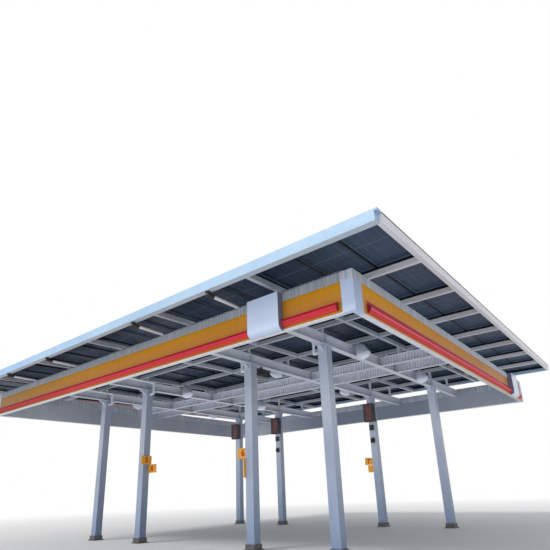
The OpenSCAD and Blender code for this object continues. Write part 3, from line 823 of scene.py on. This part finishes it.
def steel_bolts():
    """Bolts of the foot plates, the cap plates, the post feet and the girder ends."""
    up, down = (0, 0, 1), (0, 0, -1)
    corners = [(i, j) for i in (-1, 1) for j in (-1, 1)]
    foot_in, cap_in, cap_rows, post_in = 0.19, 0.11, (0.22, 0.28), 0.057
    feet, caps, post_feet, ends = [], [], [], []
    for x in COLUMN_X:
        for y in (-COLUMN_Y, COLUMN_Y):
            for i, j in corners:
                feet.append(((x + i * foot_in, y + j * foot_in, BASE_T), up))
                caps += [((x + i * cap_in, y + j * row, BEAM_Z - CAP_T), down) for row in cap_rows]
    posts = [(x, on_roof(0, seam(k), 0).y) for x in COLUMN_X for k in range(1, ROWS)]
    posts += [(x, y) for x in RAFTER_X for y in (-GIRDER_Y, GIRDER_Y)]
    for x, y in posts:
        post_feet += [((x + i * post_in, y + j * post_in, BEAM_TOP + POST_FOOT_T), up) for i, j in corners]
    end_in, end_heights = 0.065, (0.06, 0.155, 0.25)
    for y in (-GIRDER_Y, GIRDER_Y):
        for x in COLUMN_X:
            for side in (-1, 1):
                face = x + side * (FLANGE_W / 2 + GIRDER_END_T)
                ends += [((face, y + j * end_in, BEAM_Z + z), (side, 0, 0))
                         for j in (-1, 1) for z in end_heights]
    bolts("anchor_bolts", feet, 0.014, 3)
    bolts("cap_bolts", caps, 0.014, 5, "beam")
    bolts("post_bolts", post_feet, 0.009, 7)
    bolts("girder_bolts", ends, 0.011, 9)


def rafter_bolts():
    """Bolts under the rafters on both sides of each purlin."""
    from_purlin, off_middle = 0.055, 0.028
    spots = []
    down = ROOF_TURN @ Vector((0, 0, -1))
    for x in RAFTER_X:
        for k in range(1, ROWS):
            for side in (-1, 1):
                s = seam(k) + side * (PURLIN_W / 2 + from_purlin)
                spots += [(on_roof(x + i * off_middle, s, 0), down) for i in (-1, 1)]
    bolts("rafter_bolts", spots, 0.008, 11)


def rib(path):
    """Pressed rib along a path of ((y, z), (ny, nz)) places and outward ways, its foot sunk in the sheet."""
    width, crest, depth, sunk = 0.034, 0.018, 0.007, -0.002
    section = ((-width / 2, sunk), (-crest / 2, depth), (crest / 2, depth), (width / 2, sunk))
    bm = bmesh.new()
    rows = [[bm.verts.new((x, y + ny * d, z + nz * d)) for x, d in section] for (y, z), (ny, nz) in path]
    faces = [bm.faces.new([a[i], a[(i + 1) % 4], b[(i + 1) % 4], b[i]]) for a, b in zip(rows, rows[1:])
             for i in range(4)]
    faces += [bm.faces.new(rows[0][::-1]), bm.faces.new(rows[-1])]
    bmesh.ops.recalc_face_normals(bm, faces=faces)
    return part_object("rib", bm)


def flashing_ribs():
    """Pressed ribs on the outer face, the sloped top and the inner face of the flashing."""
    outer_y, inner_y, lip_y = -RING_Y + SHEET_IN, -RING_Y + RING_T, -RING_Y + RING_T - SHEET_LIP
    rise = Vector((SHEET_INNER_TOP - SHEET_TOP, lip_y - outer_y)).normalized()
    out = (-rise.x, rise.y)
    stop = 0.004
    face = rib([((outer_y, PANEL_TOP + stop), (-1, 0)), ((outer_y, SHEET_TOP - stop / 2), (-1, 0.3))])
    slope = rib([((outer_y + stop, SHEET_TOP), out), ((lip_y, SHEET_INNER_TOP), out)])
    inside = rib([((inner_y, PANEL_TOP + stop), (1, 0)), ((inner_y, SHEET_INNER_TOP - stop), (1, 0))])
    pipe_x = [x - PIPE_SIDE * (1 if x > 0 else -1) for x in COLUMN_X]
    end_gap, pipe_gap = 0.06, 0.085
    made = bmesh.new()
    for angle, half, further in RING_SIDES:
        place = ring_turn(angle, further)
        pipes = pipe_x if angle == 0 else []
        inner = half - RING_T
        for part, reach, skip in ((face, half, []), (slope, inner, pipes), (inside, inner, [])):
            count = floor(2 * (reach - end_gap) / RIB_PITCH)
            xs = [(i - (count - 1) / 2) * RIB_PITCH for i in range(count)]
            spots = [((x, 0, 0), (0, 0, 1)) for x in xs if all(abs(x - n) > pipe_gap for n in skip)]
            made.from_mesh(run_tree(COPIES, spots_mesh(spots), place, Part=part, Material=FINISH["flashing"]))
    piece("flashing_ribs", made, "flashing")


def bar_outline(grow):
    """Section of a light bar as (y, z), grown outwards."""
    radius = ((BAR_H / 2) ** 2 + BAR_DEPTH ** 2) / (2 * BAR_DEPTH)
    back = radius - BAR_DEPTH
    r = radius + grow
    reach = (r * r - back * back) ** 0.5
    angles = [pi / 2 + (pi * i / 16) for i in range(17)]
    arc = [(back + r * cos(a), r * sin(a)) for a in angles]
    return [(0.0, reach)] + [(y, z) for y, z in arc if y <= 0] + [(0.0, -reach)]


def light_bar_caps():
    """End caps and joint sleeves of the light bars on all four sides."""
    caps, sleeves = bmesh.new(), bmesh.new()
    gap, width, lap, sunk = SIGN_W / 2, 0.02, 0.008, 0.0005
    cap_outline, sleeve_outline = bar_outline(0.005), bar_outline(0.0015)
    runs = ((0, RING_Y, -BAR_FRONT_END, SIGN_X - gap), (0, RING_Y, SIGN_X + gap, BAR_FRONT_END),
            (180, RING_Y, -BAR_FRONT_END, BAR_FRONT_END), (90, RING_X, -BAR_SIDE_END, SIGN_Y - gap),
            (90, RING_X, SIGN_Y + gap, BAR_SIDE_END), (-90, RING_X, -BAR_SIDE_END, BAR_SIDE_END))
    for angle, out, start, end in runs:
        def at(x):
            return ring_turn(angle) @ Matrix.Translation((x, -out + FACE_IN - sunk, BAR_MID_Z))
        for x in (start - lap, end + lap - width):
            prism(caps, cap_outline, at(x), width, 0.003)
        count = max(1, round((end - start) / PANEL_PITCH))
        for i in range(1, count):
            x = start + (end - start) * i / count - width / 2
            prism(sleeves, sleeve_outline, at(x), width, 0.001)
    piece("light_bar_caps", caps, "cap")
    piece("light_bar_sleeves", sleeves, "bar")


def sign_outline(grow):
    """Front of a sign box in section: down the face and round the bend to the fascia."""
    front = -RING_Y - SIGN_DEPTH - grow
    bend_y, bend_z = -RING_Y - SIGN_DEPTH + SIGN_BEND, RING_Z + SIGN_BEND
    r = SIGN_BEND + grow
    bend = [(bend_y - r * cos(radians(a)), bend_z - r * sin(radians(a))) for a in range(0, 91, 10)]
    return [(front, SIGN_TOP)] + bend + [(-RING_Y - 0.001, RING_Z - grow)]


def sign_trims():
    """Retaining trims down both edges and along the top of each sign box."""
    bm = bmesh.new()
    width, lap, half, out, sunk = 0.018, 0.002, SIGN_W / 2, 0.005, 0.003
    band = sign_outline(out) + sign_outline(-sunk)[::-1]
    front, back = -RING_Y - SIGN_DEPTH - out, -RING_Y - 0.002
    inner, top, under = -RING_Y - SIGN_DEPTH + sunk, SIGN_TOP + 0.004, SIGN_TOP - 0.001
    cap = [(front, SIGN_TOP - width), (front, top), (back, top), (back, under), (inner, under),
           (inner, SIGN_TOP - width)]
    for angle, further, centre in ((0, 0, SIGN_X), (90, RING_X - RING_Y, SIGN_Y)):
        spin = ring_turn(angle, further)
        for x in (centre - half - lap, centre + half + lap - width):
            prism(bm, band, spin @ Matrix.Translation((x, 0, 0)), width)
        prism(bm, cap, spin @ Matrix.Translation((centre - half, 0, 0)), SIGN_W)
    piece("sign_trims", bm, "sign")


def pipe_collars():
    """Socket collars at the bends of the rain pipes, and clips at the columns."""
    bm = bmesh.new()
    up, right = Vector((0, 0, 1)), Vector((1, 0, 0))
    off_bend, down_run, off_column, half = 0.06, 1.9, 0.012, 0.02
    inner, edge, outer = PIPE_R - 0.001, PIPE_R + 0.005, PIPE_R + 0.006
    sleeve = [(inner, -half), (edge, -half), (outer, -0.016), (outer, 0.016), (edge, half), (inner, half),
              (inner, -half)]
    for x in COLUMN_X:
        side = 1 if x > 0 else -1
        px = x - side * PIPE_SIDE
        high, bend = Vector((px, ROOF_Y + 0.09, PIPE_HIGH)), Vector((px, -COLUMN_Y, PIPE_LOW))
        foot = Vector((px, -COLUMN_Y, PIPE_FOOT))
        into = Vector((x - side * COLUMN_W / 2, -COLUMN_Y, PIPE_FOOT))
        run = (bend - high).normalized()
        places = [(high + run * off_bend, run), (bend - run * off_bend, run), (high + run * down_run, run),
                  (bend - up * off_bend, up), (foot + up * off_bend, up),
                  (foot + right * (side * off_bend), right), (into - right * (side * off_column), right)]
        for place, axis in places:
            turned(bm, place, axis, sleeve, 24)
    piece("pipe_collars", bm, "pipe")


def lamp_fittings():
    """Domed lenses with rims, and the outer cones, of the lamps."""
    lens = [(0, -0.045), (0.06, -0.042), (0.1, -0.033), (0.136, -0.018), (0.152, -0.001), (0, 0.004)]
    rim = [(0.146, 0.001), (0.149, -0.012), (0.162, -0.014), (0.172, -0.006), (0.175, 0.004), (0.146, 0.001)]
    cone = [(0, 0.034), (0.2, 0.034), (0.2215, 0.036), (0.2235, 0.066), (0.207, 0.15), (0.165, 0.32),
            (0.142, 0.395), (0.13, 0.411), (0.03, 0.416), (0, 0.416)]
    lenses, rims, shades = bmesh.new(), bmesh.new(), bmesh.new()
    for beam_x, side in LAMPS:
        for y in (-LAMP_Y, LAMP_Y):
            centre = (beam_x + side * LAMP_OUT, y, LAMP_Z)
            axis = (-side * sin(LAMP_LEAN), 0, cos(LAMP_LEAN))
            turned(lenses, centre, axis, lens, 32)
            turned(rims, centre, axis, rim, 32)
            turned(shades, centre, axis, cone, 40)
    piece("lamp_lenses", lenses, "lens")
    piece("lamp_rims", rims, "lamp")
    piece("lamp_shades", shades, "lamp")


def floodlight_glass():
    """Lens ring and glass at the floodlight's rear end."""
    seat = [(0.07, -0.004), (0.094, -0.004), (0.094, 0.009), (0.086, 0.014), (0.07, 0.014), (0.07, -0.004)]
    pane = [(0, 0.007), (0.04, 0.006), (0.072, 0.002), (0.072, -0.001), (0, -0.001)]
    ring, glass = bmesh.new(), bmesh.new()
    turned(ring, FLOODLIGHT_END, (0, 1, 0), seat, 32)
    turned(glass, FLOODLIGHT_END, (0, 1, 0), pane, 32)
    piece("floodlight_ring", ring, "dark")
    piece("floodlight_glass", glass, "glass")


def box_fronts():
    """Framed fronts, hoods and hinges of the cabinets, and grilles and cups of the small boxes."""
    fronts, trims = bmesh.new(), bmesh.new()
    door, door_low, door_top = 0.205, 4.365, 5.075
    hood, hood_z, hood_lip, edge = 0.255, 5.1, 5.06, 0.003
    hinge_x, hinge_end, hinge_half = 0.236, 0.25, 0.04
    face_y = COLUMN_Y - COLUMN_D / 2 - CABINET_OUT
    door_y, hood_y = face_y + 0.004, face_y - 0.05
    spots = []
    for x in COLUMN_X[:3]:
        bevelled_box(fronts, (x - door, door_y, door_low), (x + door, face_y + 0.03, door_top), 0.004)
        back = face_y + CABINET_OUT
        bevelled_box(trims, (x - hood, hood_y, hood_z), (x + hood, back, hood_z + 0.012), edge)
        bevelled_box(trims, (x - hood, hood_y, hood_lip), (x + hood, face_y - 0.042, hood_z), edge)
        for z in (4.47, 4.97):
            low = (x + hinge_x, face_y + 0.01, z - hinge_half)
            high = (x + hinge_end, face_y + 0.05, z + hinge_half)
            bevelled_box(trims, low, high, edge)
        spots += [((x + i * 0.18, door_y, z), (0, -1, 0)) for i in (-1, 1) for z in (4.4, 5.04)]
    y = COLUMN_Y - COLUMN_D / 2 - SMALL_BOX_OUT
    slats, slat_z, slat_pitch, slat_h, cup_z = 6, 3.985, 0.032, 0.014, 3.52
    cup = [(0.03, -0.002), (0.04, 0.03), (0.062, 0.05), (0.066, 0.044), (0.046, 0.024), (0.036, -0.002),
           (0.03, -0.002)]
    for x in COLUMN_X[1:3]:
        for i in range(slats):
            z = slat_z + i * slat_pitch
            bevelled_box(trims, (x - 0.07, y - 0.008, z), (x + 0.07, y + 0.004, z + slat_h), 0.002)
        turned(trims, (x, y, cup_z), (0, -1, 0), cup, 24)
    piece("cabinet_fronts", fronts, "front")
    piece("cabinet_trims", trims, "dark")
    bolts("cabinet_screws", spots, 0.006, 13)


def figure_mesh(figure, place):
    """A plain figure, a little widened and nearly flat, on the plate in that place."""
    text = bpy.data.curves.new("figure", "FONT")
    text.body, text.size, text.align_x, text.align_y = figure, FIGURE_SIZE, "CENTER", "CENTER"
    text.bevel_depth, text.bevel_resolution = FIGURE_EDGE, 0
    carrier = bpy.data.objects.new("figure", text)
    mesh = bpy.data.meshes.new_from_object(carrier)
    bpy.data.objects.remove(carrier)
    mesh.transform(place @ Matrix.Translation((0, 0, 0.0008)) @ Matrix.Diagonal((1.08, 1, 0.2, 1)))
    return mesh


def number_plates():
    """Plain numbers and thin borders on the yellow plates."""
    digits, borders = bmesh.new(), bmesh.new()
    side_x = COLUMN_X[2] - COLUMN_W / 2
    front, side = 0, pi / 2
    plates = (
        ("5", (-side_x + 0.03, -COLUMN_Y - 0.02, 2.82), side, 0.44, 0.3),
        ("6", (-side_x + 0.215, -COLUMN_Y + 0.105, 2.51), front, 0.43, 0.3),
        ("6", (side_x - 0.215, -COLUMN_Y - 0.015, 2.705), front, 0.43, 0.31),
        ("7", (side_x - 0.18, COLUMN_Y - 0.135, 2.65), front, 0.36, 0.3),
    )
    rim, low_z, high_z = 0.012, -0.001, 0.0025
    for figure, centre, facing, w, h in plates:
        place = Matrix.Translation(centre) @ Euler((pi / 2, 0, facing)).to_matrix().to_4x4()
        digits.from_mesh(figure_mesh(figure, place))
        x, y = w / 2, h / 2
        strips = ((-x, -y, x, -y + rim), (-x, y - rim, x, y),
                  (-x, -y + rim, -x + rim, y - rim), (x - rim, -y + rim, x, y - rim))
        for x0, y0, x1, y1 in strips:
            placed_box(borders, (x0, y0, low_z), (x1, y1, high_z), 0.001, place)
    piece("plate_numbers", digits, "digit")
    piece("plate_borders", borders, "border")


def roof_fittings():
    """Clamps between the modules on the rails."""
    clamp = bmesh.new()
    thick = 0.004
    bevelled_box(clamp, (-0.02, -0.035, 0), (0.02, 0.035, thick), 0.0015)
    screw = [(0, -0.001), (0.007, -0.001), (0.007, 0.005), (0.004, 0.006), (0, 0.004)]
    turned(clamp, (0, 0, thick), (0, 0, 1), screw, 8)
    flat = Matrix.Translation(on_roof(0, ROOF_LEN / 2, ROOF_H)) @ ROOF_TURN
    mesh = run_tree(GRID, bpy.data.meshes.new("none"), flat, Part=part_object("clamp", clamp),
                    Columns=MODULES - 1, Rows=ROWS - 1, Step_across=MODULE_PITCH, Step_along=ROW_PITCH,
                    Material=FINISH["black"])
    piece("module_clamps", mesh, "black")


def channel_fittings():
    """Covers over the roof's four corners, and joint covers on the front and rear channels."""
    bm = bmesh.new()
    cover, proud, edge = 0.17, 0.0015, 0.001
    on_slope = Matrix.Translation(on_roof(0, 0, 0)) @ ROOF_TURN
    for side in (-1, 1):
        x0, x1 = sorted((side * (ROOF_HALF_W - CHANNEL_INSET - 0.004), side * (ROOF_HALF_W + proud)))
        for s0, s1 in ((-proud, cover), (ROOF_LEN - cover, ROOF_LEN + proud)):
            placed_box(bm, (x0, s0, ROOF_H - MODULE_T - 0.004), (x1, s1, ROOF_H + proud), edge, on_slope)
    half, pitch, thick, inset = 0.03, 3.6, 0.003, 0.004
    for s, back in ((0.0, 0.0028), (ROOF_LEN, 0.0002)):
        place = Matrix.Translation(on_roof(0, s, 0) + (ROOF_TURN @ Vector((0, -back, 0)))) @ ROOF_TURN
        for i in range(-2, 3):
            x = i * pitch
            placed_box(bm, (x - half, 0, inset), (x + half, thick, ROOF_H - inset), edge, place)
    piece("channel_joints", bm, "edge_front")


def fascia_screws():
    """Screws along the white lip and the foot of the flashing."""
    from_end, pitch, shift = 0.45, 0.61, 0.05
    spots = []
    for angle, half, further in RING_SIDES:
        spin = ring_turn(angle)
        outwards = spin @ Vector((0, -1, 0))
        face_y = -further - RING_Y
        reach = half - from_end
        count = round(2 * reach / pitch)
        for i in range(count + 1):
            x = -reach + 2 * reach * i / count
            spots.append((spin @ Vector((x, face_y, RING_Z + 0.011)), outwards))
            spots.append((spin @ Vector((x + shift, face_y + SHEET_IN, PANEL_TOP + 0.03)), outwards))
    bolts("fascia_screws", spots, 0.0045, 17)


# The picture

def stage_floor():
    """Wide pale floor that keeps shadows near the canopy and fades into the backdrop."""
    finish = Finish("pale_floor")
    finish.set(base_color=(0.8, 0.8, 0.8, 1.0), roughness=0.9)
    squares = [finish.sum("POWER", way, 2.0) for way in (finish.x, finish.y)]
    far = finish.sum("SQRT", finish.sum("ADD", *squares))
    fade = finish.range(far, FADE_START, FADE_END, interpolation_type="SMOOTHSTEP")
    backdrop = finish.sum("MULTIPLY", fade, finish.seen_directly())
    white = finish.node("ShaderNodeEmission", {"Color": (1, 1, 1, 1), "Strength": 1.0}).outputs[0]
    mix = finish.node("ShaderNodeMixShader", {0: backdrop, 1: finish.surface.outputs[0], 2: white})
    finish.tree.links.new(mix.outputs[0], finish.tree.nodes["Material Output"].inputs[0])
    disc = bmesh.new()
    bmesh.ops.create_circle(disc, cap_ends=True, radius=FLOOR_R, segments=96)
    made = in_scene("floor", as_mesh("floor", disc))
    made.data.materials.append(finish.material)
    made.visible_diffuse = False
    made.visible_shadow = False


def key_light():
    """Soft sun from high on the front left."""
    lamp = bpy.data.lights.new("key", "SUN")
    lamp.energy, lamp.angle, lamp.color = KEY_STRENGTH, KEY_SPREAD, (1.0, 0.985, 0.96)
    made = in_scene("key", lamp)
    made.location = KEY_PLACE
    made.rotation_euler = (KEY_AIM - KEY_PLACE).to_track_quat("-Z", "Y").to_euler()


def studio():
    """Even dome, brightest round the horizon, with a white backdrop where it is seen."""
    world = bpy.data.worlds.new("studio")
    world.use_nodes = True
    dome = Wiring(world.node_tree)
    way = dome.node("ShaderNodeTexCoord").outputs["Generated"]
    right, rear, up = dome.node("ShaderNodeSeparateXYZ", {0: way}).outputs
    strength = 0.0
    for (low, below), (high, above) in zip(DOME, DOME[1:]):
        strength = dome.sum("ADD", strength, dome.range(up, low, high, 0.0, above - below))
    strength = dome.sum("ADD", strength, DOME[0][1])
    to_side = dome.sum("MULTIPLY_ADD", rear, DIM_REAR, dome.sum("MULTIPLY", right, DIM_RIGHT))
    near_level = dome.range(up, -0.05, 0.15, -1.0, 0.0)
    from_ground = dome.range(up, -0.5, -0.25, 1.3, 0.0)
    dimmer = dome.sum("MULTIPLY_ADD", to_side, dome.sum("ADD", near_level, from_ground), 1.0)
    strength = dome.sum("MULTIPLY", strength, dimmer)
    light = dome.node("ShaderNodeBackground", {0: (0.95, 0.97, 1.0, 1.0), 1: strength}).outputs[0]
    white = dome.node("ShaderNodeBackground", {0: (1, 1, 1, 1), 1: 1.0}).outputs[0]
    mix = dome.node("ShaderNodeMixShader", {0: dome.seen_directly(), 1: light, 2: white})
    dome.tree.links.new(mix.outputs[0], dome.tree.nodes["World Output"].inputs[0])
    bpy.context.scene.world = world
    bpy.context.scene.view_settings.view_transform = "Standard"


def camera():
    """Camera where the photograph was taken from."""
    lens = bpy.data.cameras.new("camera")
    lens.lens, lens.sensor_width, lens.sensor_fit = CAMERA_LENS, 36.0, "HORIZONTAL"
    lens.shift_x, lens.shift_y = CAMERA_SHIFT
    lens.clip_end = 400
    made = in_scene("camera", lens)
    made.location = CAMERA_PLACE
    made.rotation_euler = Euler([radians(a) for a in CAMERA_TURN])
    bpy.context.scene.camera = made


camera()
key_light()
studio()
stage_floor()
dress_nodes()
steel_bolts()
rafter_bolts()
flashing_ribs()
light_bar_caps()
sign_trims()
pipe_collars()
lamp_fittings()
floodlight_glass()
box_fronts()
number_plates()
roof_fittings()
channel_fittings()
fascia_screws()

bpy.context.view_layer.update()
